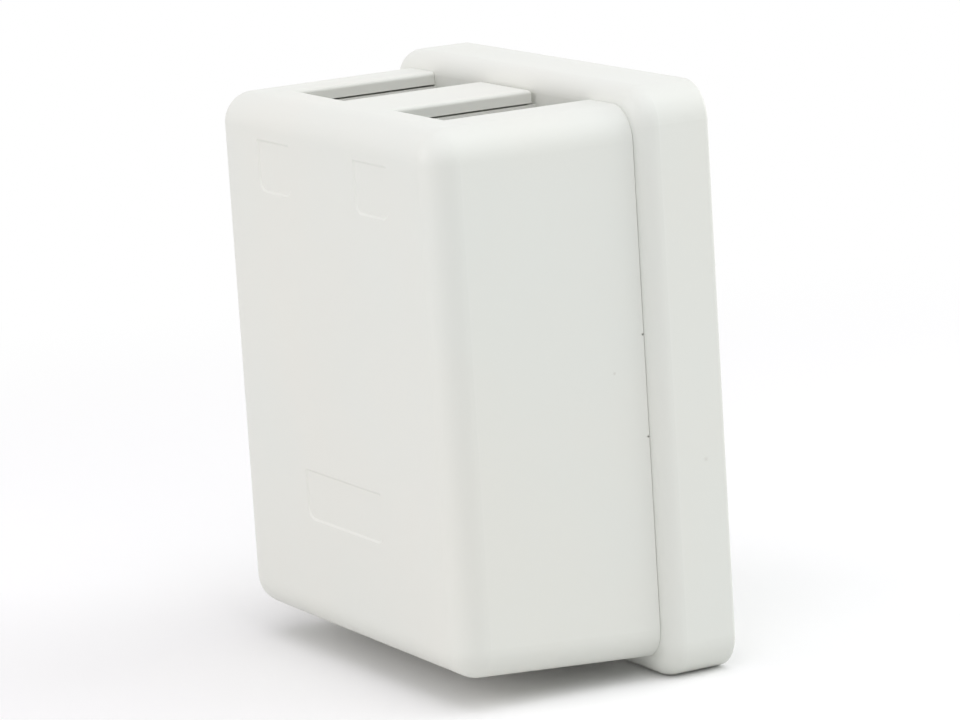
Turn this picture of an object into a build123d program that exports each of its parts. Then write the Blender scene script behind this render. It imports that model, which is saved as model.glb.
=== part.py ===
from build123d import *
import os

# Surface mount jack box: a shallow moulded base that is fixed to a wall, and a deep
# moulded cover that snaps over it. Two snap-in jacks look out of the port end.
#
# All lengths are millimetres. The wall is the plane y = 0 and the box stands out of it
# towards -Y, so a "depth" is a distance out from the wall. +Z points to the port end and
# the cable end is below. The origin is the centre of the back of the base.

# Base, outside
base_width = 73.0
base_height = 86.0
base_depth = 11.3
base_corner_radius = 5.4
base_edge_fillet = 3.0
base_back_edge_fillet = 0.5

# Base, walls
base_wall = 2.0
base_floor = 2.2
base_face_thickness = 2.0
base_inner_wall = 1.8
base_inner_fillet = 1.0
back_rib_thickness = 1.4
back_rib_pitch = 18.0

# Ledge of base that shows round the cover
side_ledge = 2.3
port_end_ledge = 2.5
cable_end_ledge = 2.95

# Cover
cover_depth = 31.9
cover_wall = 1.9
cover_corner_radius = 4.8
cover_edge_fillet = 4.5
cover_side_draft = 0.7
cover_cable_end_draft = 2.15
seam_gap = 0.02

# Lip that locates the cover on the base
lip_height = 5.0
lip_thickness = 1.6
lip_clearance = 0.3
lip_lead_in = 0.6
lip_end_clearance = 0.9

# Snap latch in the middle of each long side
latch_length = 14.8
latch_offset = 0.3
latch_bead_height = 0.2
latch_bead_width = 1.2
latch_bead_rise = 2.6
latch_pocket_depth = 0.5
latch_pocket_clearance = 0.4
latch_relief_width = 0.3
latch_relief_rise = 0.3

# Snap-in jacks and the windows that they look out of
jack_count = 2
jack_pitch = 29.9
jack_width = 14.5
jack_side_clearance = 0.2
jack_aperture = 19.6
window_clearance = 0.45
window_latch_room = 3.8
window_edge_round = 0.6
window_bar_gap = 0.5

# Jack cradles
rail_thickness = 1.6
rail_port_gap = 0.3
rail_length = 22.2
rail_foot_spread = 4.0
rail_top_margin = 0.6
rail_round = 1.5
sill_rise = 0.8
sill_thickness = 2.0
sill_setback = 9.1
latch_bar_thickness = 2.0
latch_bar_length = 3.0
latch_bar_chamfer = 0.8
tie_web_thickness = 1.4
tie_web_height = 14.0
backing_rib_thickness = 1.2
backing_rib_length = 12.0
backing_rib_gap = 0.6
backing_rib_spacing = 8.0

# Fixing screws
screw_hole_diameter = 4.2
screw_head_diameter = 8.0
screw_boss_diameter = 9.6
screw_boss_rise = 3.0
screw_spacing = 54.0
screw_centre = -3.0

# Cable entries and cable ties
cable_hole_diameter = 18.0
cable_hole_centre = -13.5
breakout_width = 16.0
breakout_rise = 10.0
breakout_skin = 0.8
tie_anchor_length = 8.0
tie_anchor_width = 5.0
tie_anchor_rise = 3.6
tie_slot_length = 4.6
tie_slot_rise = 1.8
tie_anchor_spacing = 34.0
tie_anchor_centre = -4.0

# Shallow fields for adhesive pads on the back
pad_width = 12.0
pad_height = 52.0
pad_depth = 0.4
pad_corner_radius = 1.5
pad_spacing = 40.0

# Shallow recesses in the front face
recess_depth = 0.2
recess_edge_slope = 0.35
recess_top_radius = 0.4
recess_bottom_radius = 1.9
port_recess_width = 10.2
port_recess_height = 7.9
port_recess_inset = 5.8
wide_recess_width = 23.4
wide_recess_height = 7.7
wide_recess_inset = 16.5

# Extra length that lets a cutting tool run out past a surface
run_out = 1.0

# Derived sizes of the cover
base_half_height = base_height / 2
cover_rear_half_width = base_width / 2 - side_ledge
cover_front_half_width = cover_rear_half_width - cover_side_draft
cover_top = base_half_height - port_end_ledge
cover_rear_bottom = -base_half_height + cable_end_ledge
cover_front_bottom = cover_rear_bottom + cover_cable_end_draft
cover_rear_depth = base_depth + seam_gap
cover_front_depth = base_depth + cover_depth
latch_middle = (cover_top + cover_rear_bottom) / 2 + latch_offset

# Derived sizes of the jack openings
window_width = jack_width + 2 * window_clearance
window_end_depth = base_depth + jack_aperture + window_latch_room
rail_gap = jack_width + 2 * jack_side_clearance
rail_top = cover_top - cover_wall - rail_port_gap
rail_bottom = rail_top - rail_length
sill_depth = base_depth + sill_rise
latch_bar_depth = sill_depth + jack_aperture
rail_depth = latch_bar_depth + latch_bar_thickness + rail_top_margin
sill_top = rail_top - sill_setback
jack_centres = [(i - (jack_count - 1) / 2) * jack_pitch for i in range(jack_count)]

# The round corners of the cover end where the rounded edge of the outer window begins
port_land = cover_front_half_width - jack_centres[-1] - window_width / 2
cover_corner = min(cover_corner_radius, port_land - window_edge_round)


def wall_plane(depth):
    """Plane parallel to the wall, a given depth out of it; it extrudes away from the wall."""
    return Plane.XZ.offset(depth)


def between(depth_from, depth_to, outline):
    """Extrude a sketch drawn in X and Z from one depth to another."""
    return extrude(wall_plane(depth_from) * outline, depth_to - depth_from)


def rounded_rectangle(half_width, top, bottom, radius):
    """Rectangle about x = 0, from its bottom to its top height, with round corners."""
    return Pos(0, (top + bottom) / 2) * RectangleRounded(2 * half_width, top - bottom, radius)


def base_outline(inset):
    """Outline of the base, moved inwards."""
    half_height = base_half_height - inset
    return rounded_rectangle(base_width / 2 - inset, half_height, -half_height, base_corner_radius - inset)


def cover_outline(inset, cable_end_room=0):
    """Outline of the cover where it meets the base, moved inwards, and further at the cable end."""
    half_width = cover_rear_half_width - inset
    bottom = cover_rear_bottom + inset + cable_end_room
    radius = max(cover_corner - inset, base_inner_fillet)
    return rounded_rectangle(half_width, cover_top - inset, bottom, radius)


def cover_block(inset):
    """Tapered, round-edged block of the cover; inset by the wall it is the space inside."""
    front_depth = cover_front_depth - inset
    plan = make_face(
        Polyline(
            (inset - cover_rear_half_width, -cover_rear_depth),
            (cover_rear_half_width - inset, -cover_rear_depth),
            (cover_front_half_width - inset, -front_depth),
            (inset - cover_front_half_width, -front_depth),
            close=True,
        )
    )
    side = make_face(
        Polyline(
            (-cover_rear_depth, cover_top - inset),
            (-front_depth, cover_top - inset),
            (-front_depth, cover_front_bottom + inset),
            (-cover_rear_depth, cover_rear_bottom + inset),
            close=True,
        )
    )
    block = extrude(Plane.XY * plan, base_height, both=True)
    block &= extrude(Plane.YZ * side, base_width, both=True)
    faces_by_depth = block.faces().sort_by(Axis.Y)
    front_and_rear_edges = faces_by_depth[0].edges() + faces_by_depth[-1].edges()
    block = fillet(block.edges() - front_and_rear_edges, cover_corner - inset)
    front_edges = block.faces().sort_by(Axis.Y)[0].edges()
    return fillet(front_edges, cover_edge_fillet - inset)


# Base

well_inset = cover_wall + lip_clearance + lip_thickness


def base_shell():
    """Floor against the wall, and a raised rim that is hollow behind."""
    shell = between(0, base_depth, base_outline(0))
    shell = fillet(shell.faces().sort_by(Axis.Y)[0].edges(), base_edge_fillet)
    shell = fillet(shell.faces().sort_by(Axis.Y)[-1].edges(), base_back_edge_fillet)
    well = between(base_floor, base_depth + run_out, cover_outline(well_inset))
    well = fillet(well.faces().sort_by(Axis.Y)[-1].edges(), base_inner_fillet)
    return shell - well - rim_pockets()


def rim_pockets():
    """Hollows behind the rim, open to the wall and parted by ribs."""
    ring = base_outline(base_wall) - cover_outline(well_inset - base_inner_wall)
    pockets = between(-run_out, base_depth - base_face_thickness, ring)
    ribs = []
    columns = int(base_width / 2 / back_rib_pitch)
    rows = int(base_height / 2 / back_rib_pitch)
    for i in range(-columns, columns + 1):
        ribs.append(Pos(i * back_rib_pitch, 0) * Rectangle(back_rib_thickness, base_height))
    for i in range(-rows, rows + 1):
        ribs.append(Pos(0, i * back_rib_pitch) * Rectangle(base_width, back_rib_thickness))
    for rib in ribs:
        pockets -= between(-run_out, base_depth, rib)
    return pockets


def lip():
    """Upright lip just inside the cover wall, left out at the windows and the breakout."""
    draft_room = cover_cable_end_draft * lip_height / cover_depth
    ring = cover_outline(cover_wall + lip_clearance, draft_room) - cover_outline(well_inset)
    upright = between(base_depth - base_face_thickness, base_depth + lip_height, ring)
    outer_edges = upright.faces().sort_by(Axis.Y)[0].outer_wire().edges()
    upright = chamfer(outer_edges, lip_lead_in)
    window_span = jack_centres[-1] - jack_centres[0] + window_width + 2 * lip_end_clearance
    end_length = base_half_height - cover_top + well_inset + run_out
    port_gap = Pos(0, cover_top - well_inset / 2) * Rectangle(window_span, 2 * end_length)
    breakout_gap = Pos(0, cover_rear_bottom + well_inset / 2) * Rectangle(
        breakout_width + 2 * lip_end_clearance, 2 * end_length
    )
    upright -= between(base_depth, base_depth + lip_height + run_out, port_gap)
    upright -= between(base_depth, base_depth + lip_height + run_out, breakout_gap)
    for end in (-1, 1):
        relief = Pos(0, latch_middle + end * latch_length / 2) * Rectangle(base_width, latch_relief_width)
        upright -= between(base_depth, base_depth + lip_height + run_out, relief)
    return upright


def latch_beads():
    """Low rounded bead along the lip in the middle of each long side."""
    lip_face = cover_rear_half_width - cover_wall - lip_clearance
    bead_depth = base_depth + latch_bead_rise
    half_width = latch_bead_width / 2
    length = latch_length - 2 * latch_relief_width - 2 * latch_pocket_clearance
    beads = []
    for side in (-1, 1):
        root = side * (lip_face - lip_thickness / 2)
        crest = side * (lip_face + latch_bead_height)
        foot = side * lip_face
        profile = make_face(
            Polyline(
                (root, -bead_depth - half_width),
                (foot, -bead_depth - half_width),
                (crest, -bead_depth),
                (foot, -bead_depth + half_width),
                (root, -bead_depth + half_width),
                close=True,
            )
        )
        beads.append(extrude(Plane.XY.offset(latch_middle - length / 2) * profile, length))
    return beads


def rail_profile():
    """Side view of a cradle rail: a broad foot on the floor, tapering away from the wall."""
    outline = make_face(
        Polyline(
            (-base_floor / 2, rail_top),
            (-rail_depth, rail_top),
            (-rail_depth, rail_bottom + rail_foot_spread),
            (-sill_depth, rail_bottom),
            (-base_floor / 2, rail_bottom - rail_foot_spread),
            close=True,
        )
    )
    outer_corners = outline.vertices().sort_by(Axis.X)[0:2]
    return fillet(outer_corners, rail_round)


def cradle(centre):
    """Two rails, a sill that the jack's fixed lug hooks over, and a bar for its latch."""
    pieces = []
    for side in (-1, 1):
        middle = centre + side * (rail_gap + rail_thickness) / 2
        rail = extrude(Plane.YZ.offset(middle) * rail_profile(), rail_thickness / 2, both=True)
        pieces.append(rail)
    sill = make_face(
        Polyline(
            (-base_floor / 2, sill_top),
            (-sill_depth + latch_bar_chamfer, sill_top),
            (-sill_depth, sill_top - latch_bar_chamfer),
            (-sill_depth, sill_top - sill_thickness),
            (-base_floor / 2, sill_top - sill_thickness),
            close=True,
        )
    )
    bar_bottom = sill_top - sill_thickness
    bar_top = bar_bottom + latch_bar_length
    bar = make_face(
        Polyline(
            (-latch_bar_depth - latch_bar_chamfer, bar_top),
            (-latch_bar_depth - latch_bar_thickness, bar_top),
            (-latch_bar_depth - latch_bar_thickness, bar_bottom),
            (-latch_bar_depth, bar_bottom),
            (-latch_bar_depth, bar_top - latch_bar_chamfer),
            close=True,
        )
    )
    half_span = (rail_gap + rail_thickness) / 2
    for profile in (sill, bar):
        pieces.append(extrude(Plane.YZ.offset(centre) * profile, half_span, both=True))
    return pieces


def tie_webs():
    """Low web between neighbouring cradles, clear of the fixing screw."""
    webs = []
    for left, right in zip(jack_centres, jack_centres[1:]):
        span = right - left - rail_gap - rail_thickness
        web = Pos((left + right) / 2, rail_top - tie_web_thickness) * Rectangle(span, tie_web_thickness)
        webs.append(between(base_floor / 2, base_floor + tie_web_height, web))
    return webs


def screw_positions():
    """Heights of the two fixing screws."""
    return [screw_centre - screw_spacing / 2, screw_centre + screw_spacing / 2]


def screw_bosses():
    """Raised seats for the two fixing screws."""
    bosses = []
    for height in screw_positions():
        boss = Pos(0, height) * Circle(screw_boss_diameter / 2)
        bosses.append(between(base_floor / 2, base_floor + screw_boss_rise, boss))
    return bosses


def screw_holes():
    """Countersunk holes through the bosses and the floor."""
    seat = base_floor + screw_boss_rise
    sink = (screw_head_diameter - screw_hole_diameter) / 2
    holes = []
    for height in screw_positions():
        hole = Pos(0, height) * Circle(screw_hole_diameter / 2)
        holes.append(between(-run_out, seat + run_out, hole))
        cone = Cone(screw_hole_diameter / 2, screw_head_diameter / 2, sink)
        holes.append(Pos(0, -seat + sink / 2, height) * Rot(90, 0, 0) * cone)
    return holes


def tie_anchors():
    """Low arches on the floor that a cable tie passes through."""
    anchors = []
    for side in (-1, 1):
        centre = side * tie_anchor_spacing / 2
        outline = Pos(centre, tie_anchor_centre) * Rectangle(tie_anchor_length, tie_anchor_width)
        arch = between(base_floor / 2, base_floor + tie_anchor_rise, outline)
        arch = fillet(arch.faces().sort_by(Axis.Y)[0].edges().filter_by(Axis.Z), rail_round)
        slot = Pos(centre, tie_anchor_centre) * Rectangle(tie_slot_length, tie_anchor_width + run_out)
        anchors.append(arch - between(base_floor, base_floor + tie_slot_rise, slot))
    return anchors


def pad_fields():
    """Shallow fields in the back for adhesive pads."""
    fields = []
    for side in (-1, 1):
        field = RectangleRounded(pad_width, pad_height, pad_corner_radius)
        fields.append(between(-run_out, pad_depth, Pos(side * pad_spacing / 2, 0) * field))
    return fields


def make_base():
    """The whole base moulding."""
    base = base_shell() + lip() + latch_beads()
    for centre in jack_centres:
        base += cradle(centre)
    base += tie_webs() + screw_bosses() + tie_anchors()
    cable_hole = Pos(0, cable_hole_centre) * Circle(cable_hole_diameter / 2)
    base -= between(-run_out, base_floor + run_out, cable_hole)
    return base - screw_holes() - pad_fields()


# Cover

def windows():
    """Notches in the port end that run back to the base, one for each jack."""
    notches = []
    length = cover_wall + 2 * run_out
    for centre in jack_centres:
        notch = Pos(centre, cover_top + run_out - length / 2) * Rectangle(window_width, length)
        notches.append(between(cover_rear_depth - run_out, window_end_depth, notch))
    return notches


def bar_reliefs():
    """Small gaps that keep the bars between neighbouring windows off the base."""
    length = cover_wall + 2 * run_out
    reliefs = []
    for left, right in zip(jack_centres, jack_centres[1:]):
        relief = Pos((left + right) / 2, cover_top + run_out - length / 2) * Rectangle(right - left, length)
        reliefs.append(between(cover_rear_depth - run_out, cover_rear_depth + window_bar_gap, relief))
    return reliefs


def recess_outline(width, height, top):
    """Recess with nearly square top corners and rounder bottom corners."""
    outline = Pos(0, top - height / 2) * Rectangle(width, height)
    corners = outline.vertices().sort_by(Axis.Y)
    outline = fillet(corners[0:2], recess_bottom_radius)
    return fillet(outline.vertices().sort_by(Axis.Y)[-2:], recess_top_radius)


def face_recesses():
    """One small recess above each jack, and a wide one near the cable end, with sloping edges."""
    port = recess_outline(port_recess_width, port_recess_height, cover_top - port_recess_inset)
    wide_top = cover_front_bottom + wide_recess_inset + wide_recess_height
    outlines = [Pos(centre, 0) * port for centre in jack_centres]
    outlines.append(recess_outline(wide_recess_width, wide_recess_height, wide_top))
    recesses = []
    for outline in outlines:
        recess = between(cover_front_depth - recess_depth, cover_front_depth + run_out, outline)
        floor = recess.faces().sort_by(Axis.Y)[-1]
        recesses.append(chamfer(floor.edges(), recess_edge_slope, recess_depth, reference=floor))
    return recesses


def backing_ribs():
    """Ribs inside the front that stand just off each cradle and back up its latch bar."""
    start = rail_depth + backing_rib_gap
    finish = cover_front_depth - cover_wall / 2
    ribs = []
    for centre in jack_centres:
        for side in (-1, 1):
            middle = centre + side * backing_rib_spacing / 2
            rib = Rectangle(backing_rib_thickness, backing_rib_length)
            ribs.append(between(start, finish, Pos(middle, rail_top - rail_length / 2) * rib))
    return ribs


def latch_pockets():
    """Grooves inside the long sides that the beads of the base sit in."""
    inner_face = cover_rear_half_width - cover_wall
    bead_depth = base_depth + latch_bead_rise
    reach = latch_bead_width / 2 + latch_pocket_clearance
    pockets = []
    for side in (-1, 1):
        outline = Pos(side * inner_face, latch_middle) * Rectangle(2 * latch_pocket_depth, latch_length)
        pockets.append(between(bead_depth - reach, bead_depth + reach, outline))
    return pockets


def latch_reliefs():
    """Small notches in the rear edge at both ends of each latch."""
    reliefs = []
    for end in (-1, 1):
        height = latch_middle + end * latch_length / 2
        relief = Pos(0, height) * Rectangle(base_width, latch_relief_width)
        reliefs.append(between(base_depth, cover_rear_depth + latch_relief_rise, relief))
    return reliefs


def breakout():
    """Thinned patch inside the cable end that can be broken out for a cable or duct."""
    inner_face = cover_rear_bottom + cover_wall
    skin_face = cover_rear_bottom + breakout_skin
    outline = Pos(0, (inner_face + skin_face) / 2 + run_out / 2) * Rectangle(
        breakout_width, inner_face - skin_face + run_out
    )
    return between(cover_rear_depth - run_out, cover_rear_depth + breakout_rise, outline)


def make_cover():
    """The whole cover moulding."""
    cover = cover_block(0) - cover_block(cover_wall)
    cover -= windows() + bar_reliefs()
    reach = jack_centres[-1] + window_width
    edges = cover.faces().sort_by(Axis.Z)[-1].edges().filter_by_position(Axis.X, -reach, reach)
    notch_edges = edges.filter_by_position(Axis.Y, -window_end_depth, -cover_rear_depth, (True, False))
    cover = fillet(notch_edges, window_edge_round)
    cover += backing_ribs()
    cover -= face_recesses() + latch_pockets() + latch_reliefs()
    return cover - breakout()


os.makedirs("parts", exist_ok=True)
export_step(make_base(), "parts/base.step")
export_step(make_cover(), "parts/cover.step")
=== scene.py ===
import math

import bpy
from mathutils import Matrix, Vector


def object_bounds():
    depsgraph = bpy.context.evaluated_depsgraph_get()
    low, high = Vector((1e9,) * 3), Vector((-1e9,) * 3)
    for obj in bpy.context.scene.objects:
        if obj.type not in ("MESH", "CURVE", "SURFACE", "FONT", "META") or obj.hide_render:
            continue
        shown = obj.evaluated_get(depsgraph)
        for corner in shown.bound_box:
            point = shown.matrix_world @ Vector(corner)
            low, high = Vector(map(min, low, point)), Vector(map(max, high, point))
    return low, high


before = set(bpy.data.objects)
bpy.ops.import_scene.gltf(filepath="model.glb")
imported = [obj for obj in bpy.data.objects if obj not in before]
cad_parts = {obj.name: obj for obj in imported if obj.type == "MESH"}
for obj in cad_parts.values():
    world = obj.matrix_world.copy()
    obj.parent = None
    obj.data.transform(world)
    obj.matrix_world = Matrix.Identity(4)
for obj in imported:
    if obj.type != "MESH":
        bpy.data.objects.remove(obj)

# Surface mount jack box in white moulded plastic: a base with a rounded rim, and a deep
# cover over it. Lengths are in metres, in the frame of the solids: the wall is the plane
# y = 0, the box stands out of it towards -Y, and the jack windows look up.

MM = 0.001
CAD_LOW, CAD_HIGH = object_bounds()

# Colours, as linear values
PLASTIC_WARM = (0.803, 0.808, 0.759)
PLASTIC_COOL = (0.791, 0.810, 0.769)
SPECK_BROWN = (0.30, 0.26, 0.20)
FLOOR_BOUNCE = (0.80, 0.80, 0.79)
WHITE = (1.0, 1.0, 1.0)

# Moulded plastic: fine pits, and a satin that is a little smoother in some places. Scales
# are in steps to the metre.
PLASTIC_IOR = 1.50
PIT_SCALE = 2600.0
PIT_HEIGHT = 0.04 * MM
PIT_STRENGTH = 0.08
SATIN_SCALE = 38.0
SATIN_ROUGHNESS = (0.40, 0.52)
TINT_SCALE = 24.0

# Specks in the resin, each with its place, radius and strength
COVER_SPECKS = [((0.0342, -0.0164, 0.0030), 0.32 * MM, 0.35)]
BASE_SPECKS = [((0.0365, -0.0035, -0.0111), 0.45 * MM, 0.18)]

# The photograph's view
VIEW_AZIMUTH = math.radians(61.107)
VIEW_ELEVATION = math.radians(11.212)
VIEW_ROLL = math.radians(3.651)
VIEW_DISTANCE = 689.66 * MM
VIEW_SHIFT_RIGHT = -16.60 * MM
VIEW_SHIFT_UP = -2.327 * MM
VIEW_LENS = 173.16
SENSOR_WIDTH = 36.0

# Lights. A panel at level 1 lights a facing white card to white. Its place is an azimuth
# from the front of the box towards its right, and an elevation, both in degrees.
WORLD_LEVEL = 0.436
PANEL_DISTANCE = 1.1
# name: azimuth, elevation, size, level, colour
PANELS = {
    "overhead panel": (0, 90, 1.2, 0.231, (1.00, 0.96, 1.04)),
    "front left panel": (-20, 15, 0.9, 0.334, (1.03, 0.98, 0.99)),
    "camera side panel": (61, 50, 0.9, 0.285, (1.00, 0.99, 1.01)),
    "back right panel": (140, 50, 0.9, 0.166, (0.97, 1.01, 1.02)),
    "back panel": (165, 15, 0.9, 0.404, (0.99, 1.02, 0.99)),
}

# The floor lies under the box. It takes the shadow, and turns to plain white between these
# two distances from its middle.
FLOOR_HALF = 3.0
FLOOR_ROUGHNESS = 0.9
SHADOW_REACH = 0.14
WHITE_REACH = 0.30


def rgba(colour):
    return (*colour, 1.0)


def direction(azimuth, elevation):
    """Unit vector from the middle of the box, azimuth and elevation in radians."""
    across = math.cos(elevation)
    return Vector((math.sin(azimuth) * across, -math.cos(azimuth) * across, math.sin(elevation)))


class Nodes:
    """Small helper that adds, sets and joins the nodes of one tree."""

    def __init__(self, tree):
        self.tree = tree

    def add(self, kind, settings=None, **inputs):
        """New node; an input's name has underscores for spaces."""
        node = self.tree.nodes.new(kind)
        for name, value in (settings or {}).items():
            setattr(node, name, value)
        for name, value in inputs.items():
            self.feed(node.inputs[name.replace("_", " ")], value)
        return node

    def feed(self, socket, value):
        """Join a socket to another, or set its value."""
        if isinstance(value, bpy.types.NodeSocket):
            self.tree.links.new(value, socket)
        elif socket.type == "RGBA":
            socket.default_value = rgba(value)
        else:
            socket.default_value = value

    def math(self, operation, a, b, clamp=False):
        node = self.add("ShaderNodeMath", {"operation": operation, "use_clamp": clamp})
        self.feed(node.inputs[0], a)
        self.feed(node.inputs[1], b)
        return node.outputs["Value"]

    def mix(self, share, a, b):
        """Colour a turned towards colour b by a share."""
        node = self.add("ShaderNodeMix", {"data_type": "RGBA"}, Factor=share)
        # A mix node has sockets of one name for each data type
        colours = {socket.name: socket for socket in node.inputs if socket.type == "RGBA"}
        self.feed(colours["A"], a)
        self.feed(colours["B"], b)
        return next(socket for socket in node.outputs if socket.type == "RGBA")


def new_group(name, inputs, outputs):
    """Shader node group with named inputs, given as {name: (type, default)}, and outputs."""
    tree = bpy.data.node_groups.new(name, "ShaderNodeTree")
    for label, (kind, default) in inputs.items():
        socket = tree.interface.new_socket(label, in_out="INPUT", socket_type=kind)
        socket.default_value = default
    for label, kind in outputs.items():
        tree.interface.new_socket(label, in_out="OUTPUT", socket_type=kind)
    start = tree.nodes.new("NodeGroupInput")
    end = tree.nodes.new("NodeGroupOutput")
    return tree, Nodes(tree), start.outputs, end.inputs


def build_moulded_grain():
    """Fine spark-eroded texture of a mould, as a height and a roughness."""
    smoothest, roughest = SATIN_ROUGHNESS
    inputs = {
        "Grain Scale": ("NodeSocketFloat", PIT_SCALE),
        "Smoothest": ("NodeSocketFloat", smoothest),
        "Roughest": ("NodeSocketFloat", roughest),
    }
    outputs = {"Height": "NodeSocketFloat", "Roughness": "NodeSocketFloat"}
    tree, n, given, end = new_group("Moulded Grain", inputs, outputs)
    place = n.add("ShaderNodeTexCoord").outputs["Object"]
    scale = given["Grain Scale"]
    pits = n.add("ShaderNodeTexNoise", Vector=place, Scale=scale, Detail=3.0, Roughness=0.6)
    waves = n.add("ShaderNodeTexNoise", Vector=place, Scale=SATIN_SCALE, Detail=2.0)
    satin = n.add(
        "ShaderNodeMapRange", Value=waves.outputs["Fac"], From_Min=0.3, From_Max=0.7,
        To_Min=given["Smoothest"], To_Max=given["Roughest"],
    )
    n.feed(end["Height"], pits.outputs["Fac"])
    n.feed(end["Roughness"], satin.outputs["Result"])
    return tree


def build_resin_tint():
    """Slow drift of a moulded resin between two close tints."""
    inputs = {
        "Tint A": ("NodeSocketColor", rgba(PLASTIC_WARM)),
        "Tint B": ("NodeSocketColor", rgba(PLASTIC_COOL)),
        "Drift Scale": ("NodeSocketFloat", TINT_SCALE),
    }
    tree, n, given, end = new_group("Resin Tint", inputs, {"Color": "NodeSocketColor"})
    place = n.add("ShaderNodeTexCoord").outputs["Object"]
    scale = given["Drift Scale"]
    drift = n.add("ShaderNodeTexNoise", Vector=place, Scale=scale, Detail=3.0, Roughness=0.5)
    fade = n.add("ShaderNodeMapRange", Value=drift.outputs["Fac"], From_Min=0.35, From_Max=0.65)
    n.feed(end["Color"], n.mix(fade.outputs["Result"], given["Tint A"], given["Tint B"]))
    return tree


def build_speck():
    """Mask of one tiny speck of dust or dark resin at a given place."""
    inputs = {
        "Place": ("NodeSocketVector", (0.0, 0.0, 0.0)),
        "Radius": ("NodeSocketFloat", 0.3 * MM),
    }
    tree, n, given, end = new_group("Speck", inputs, {"Mask": "NodeSocketFloat"})
    place = n.add("ShaderNodeTexCoord").outputs["Object"]
    gap = n.add("ShaderNodeVectorMath", {"operation": "DISTANCE"})
    n.feed(gap.inputs[0], place)
    n.feed(gap.inputs[1], given["Place"])
    share = n.math("DIVIDE", gap.outputs["Value"], given["Radius"])
    n.feed(end["Mask"], n.math("SUBTRACT", 1.0, share, clamp=True))
    return tree


def moulded_plastic(name, groups, specks):
    """White satin resin with mould grain; specks is a list of (place, radius, strength)."""
    material = bpy.data.materials.new(name)
    material.use_nodes = True
    n = Nodes(material.node_tree)
    shader = material.node_tree.nodes["Principled BSDF"]
    shader.inputs["IOR"].default_value = PLASTIC_IOR

    grain = n.add("ShaderNodeGroup", {"node_tree": groups["grain"]}).outputs
    colour = n.add("ShaderNodeGroup", {"node_tree": groups["tint"]}).outputs["Color"]
    for place, radius, strength in specks:
        speck = n.add("ShaderNodeGroup", {"node_tree": groups["speck"]}, Place=place, Radius=radius)
        weight = n.math("MULTIPLY", speck.outputs["Mask"], strength)
        colour = n.mix(weight, colour, SPECK_BROWN)
    bump = n.add(
        "ShaderNodeBump", Height=grain["Height"], Strength=PIT_STRENGTH, Distance=PIT_HEIGHT
    )
    n.feed(shader.inputs["Base Color"], colour)
    n.feed(shader.inputs["Roughness"], grain["Roughness"])
    n.feed(shader.inputs["Normal"], bump.outputs["Normal"])
    return material


def dress(node, material):
    """Give a moulding its material in every slot."""
    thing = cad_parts[node]
    thing.data.materials.clear()
    thing.data.materials.append(material)


def showing_rays(n):
    """1 for the rays that show the surroundings: the camera's own, reflected and refracted."""
    path = n.add("ShaderNodeLightPath").outputs
    seen = n.math("MAXIMUM", path["Is Camera Ray"], path["Is Glossy Ray"])
    return n.math("MAXIMUM", seen, path["Is Transmission Ray"])


def floor_material():
    """Pale card that takes the shadow, and shows as pure white further out."""
    material = bpy.data.materials.new("White Floor")
    material.use_nodes = True
    nodes = material.node_tree.nodes
    n = Nodes(material.node_tree)
    card = nodes["Principled BSDF"]
    card.inputs["Roughness"].default_value = FLOOR_ROUGHNESS
    card.inputs["Specular IOR Level"].default_value = 0.0
    showing = showing_rays(n)
    n.feed(card.inputs["Base Color"], n.mix(showing, FLOOR_BOUNCE, WHITE))

    reach = n.add("ShaderNodeVectorMath", {"operation": "LENGTH"})
    n.feed(reach.inputs[0], n.add("ShaderNodeTexCoord").outputs["Object"])
    fade = n.add(
        "ShaderNodeMapRange", {"interpolation_type": "SMOOTHSTEP"}, Value=reach.outputs["Value"],
        From_Min=SHADOW_REACH, From_Max=WHITE_REACH,
    )
    share = n.math("MULTIPLY", fade.outputs["Result"], showing)
    glow = n.add("ShaderNodeEmission", Strength=1.0)
    mixed = n.add("ShaderNodeMixShader", Fac=share)
    n.feed(mixed.inputs[1], card.outputs["BSDF"])
    n.feed(mixed.inputs[2], glow.outputs["Emission"])
    n.feed(nodes["Material Output"].inputs["Surface"], mixed.outputs["Shader"])
    return material


def add_floor():
    """Plain white floor under the box; it lights the box like pale card."""
    h = FLOOR_HALF
    mesh = bpy.data.meshes.new("floor")
    mesh.from_pydata([(-h, -h, 0), (h, -h, 0), (h, h, 0), (-h, h, 0)], [], [(0, 1, 2, 3)])
    mesh.materials.append(floor_material())
    floor = bpy.data.objects.new("floor", mesh)
    floor.location = (0.0, 0.0, CAD_LOW[2])
    bpy.context.scene.collection.objects.link(floor)


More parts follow.
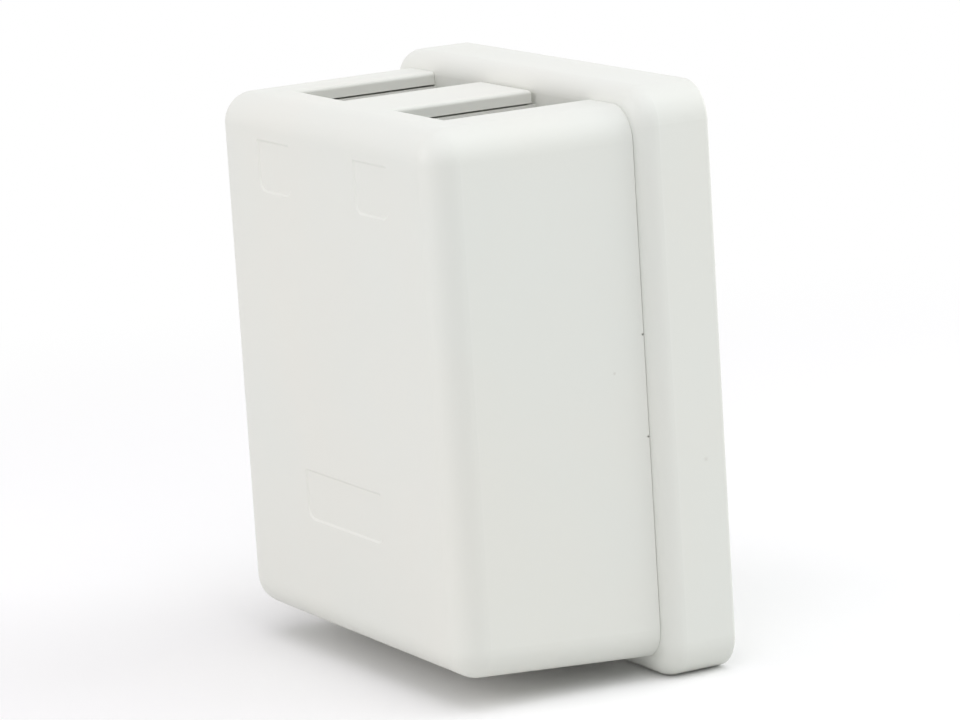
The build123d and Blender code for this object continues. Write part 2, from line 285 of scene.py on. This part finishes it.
def add_world():
    """Even white surroundings: pure white where they show, a plain level for the light."""
    world = bpy.data.worlds.new("White Studio")
    bpy.context.scene.world = world
    world.use_nodes = True
    n = Nodes(world.node_tree)
    background = world.node_tree.nodes["Background"]
    background.inputs["Color"].default_value = rgba(WHITE)
    strength = n.add("ShaderNodeMapRange", Value=showing_rays(n), To_Min=WORLD_LEVEL, To_Max=1.0)
    n.feed(background.inputs["Strength"], strength.outputs["Result"])


def add_panel(name, azimuth, elevation, size, level, colour):
    """Square soft panel that faces the middle of the box."""
    lamp = bpy.data.lights.new(name, "AREA")
    lamp.shape = "SQUARE"
    lamp.size = size
    lamp.color = colour
    lamp.energy = level * (math.pi * PANEL_DISTANCE) ** 2
    away = direction(math.radians(azimuth), math.radians(elevation))
    thing = bpy.data.objects.new(name, lamp)
    thing.location = away * PANEL_DISTANCE
    thing.rotation_mode = "QUATERNION"
    thing.rotation_quaternion = away.to_track_quat("Z", "Y")
    bpy.context.scene.collection.objects.link(thing)


def add_camera():
    """Camera at the photograph's viewing angle, with its slight roll."""
    camera = bpy.data.cameras.new("camera")
    camera.lens = VIEW_LENS
    camera.sensor_width = SENSOR_WIDTH
    back = direction(VIEW_AZIMUTH, VIEW_ELEVATION)
    right = Vector((math.cos(VIEW_AZIMUTH), math.sin(VIEW_AZIMUTH), 0.0))
    up = back.cross(right)
    rolled_right = right * math.cos(VIEW_ROLL) - up * math.sin(VIEW_ROLL)
    rolled_up = right * math.sin(VIEW_ROLL) + up * math.cos(VIEW_ROLL)
    shift = rolled_right * VIEW_SHIFT_RIGHT + rolled_up * VIEW_SHIFT_UP
    turn = Matrix((rolled_right, rolled_up, back)).transposed().to_4x4()
    thing = bpy.data.objects.new("camera", camera)
    thing.matrix_world = Matrix.Translation(shift + back * VIEW_DISTANCE) @ turn
    bpy.context.scene.collection.objects.link(thing)
    bpy.context.scene.camera = thing


groups = {"grain": build_moulded_grain(), "tint": build_resin_tint(), "speck": build_speck()}
dress("cover", moulded_plastic("Cover Plastic", groups, COVER_SPECKS))
dress("base", moulded_plastic("Base Plastic", groups, BASE_SPECKS))
add_floor()
add_world()
for name, settings in PANELS.items():
    add_panel(name, *settings)
add_camera()
bpy.context.scene.view_settings.view_transform = "Standard"
